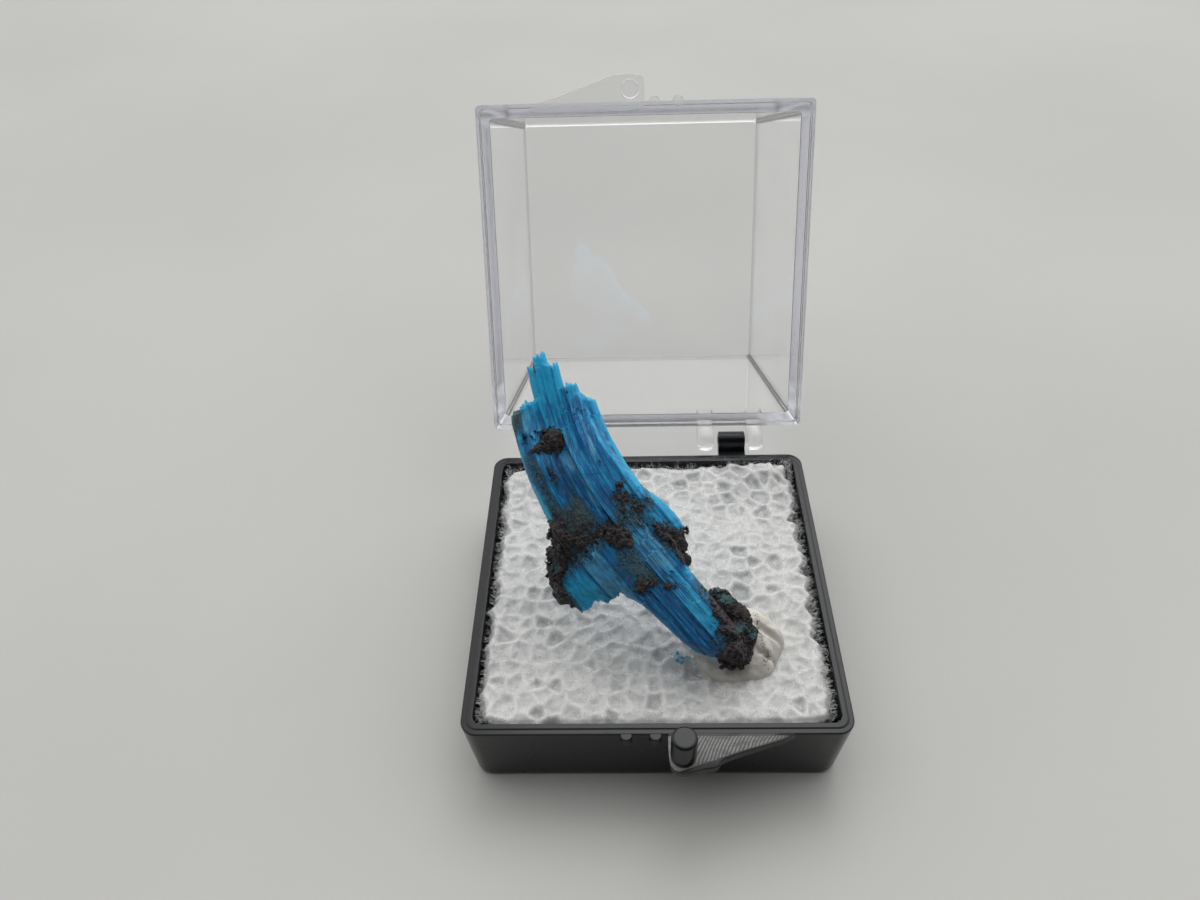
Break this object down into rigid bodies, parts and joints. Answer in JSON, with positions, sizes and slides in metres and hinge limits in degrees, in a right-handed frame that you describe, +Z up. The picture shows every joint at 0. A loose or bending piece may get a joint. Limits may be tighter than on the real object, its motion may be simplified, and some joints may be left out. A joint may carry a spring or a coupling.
{
  "type": "chalcanthite specimen in hinged display box",
  "caption": "Thumbnail mineral specimen: a leaning bundle of blue fibrous crystal with dark matrix, fixed by putty on foam in a small hinged box with a black tray and a clear lid.",
  "frame": {"origin": "centre of the tray's flat underside", "axes": "+Z up, -Y towards the front of the box with its thumb tabs, +Y towards the hinge, +X along the hinge axis"},
  "size_m": [0.0318, 0.0727, 0.0409],
  "materials": {
    "black_plastic": "satin",
    "clear_plastic": "gloss",
    "white_foam": "satin",
    "putty": "matte",
    "blue_crystal": "gloss",
    "matrix_rock": "matte"
  },
  "bodies": {
    "tray_body": {"base_tray": "black_plastic", "foam_insert": "white_foam", "putty": "putty", "chalcanthite": "blue_crystal", "matrix_foot": "matrix_rock", "matrix_upper": "matrix_rock", "matrix_left": "matrix_rock", "matrix_centre": "matrix_rock", "matrix_right": "matrix_rock", "matrix_lower": "matrix_rock"},
    "lid_body": {"lid": "clear_plastic"}
  },
  "joints": [
    {"name": "lid_hinge", "type": "hinge", "parent": "tray_body", "child": "lid_body", "pos_m": [0.00885, 0.0175, 0.00825], "axis": [1, 0, 0], "range_deg": [0, 114.75]}
  ]
}
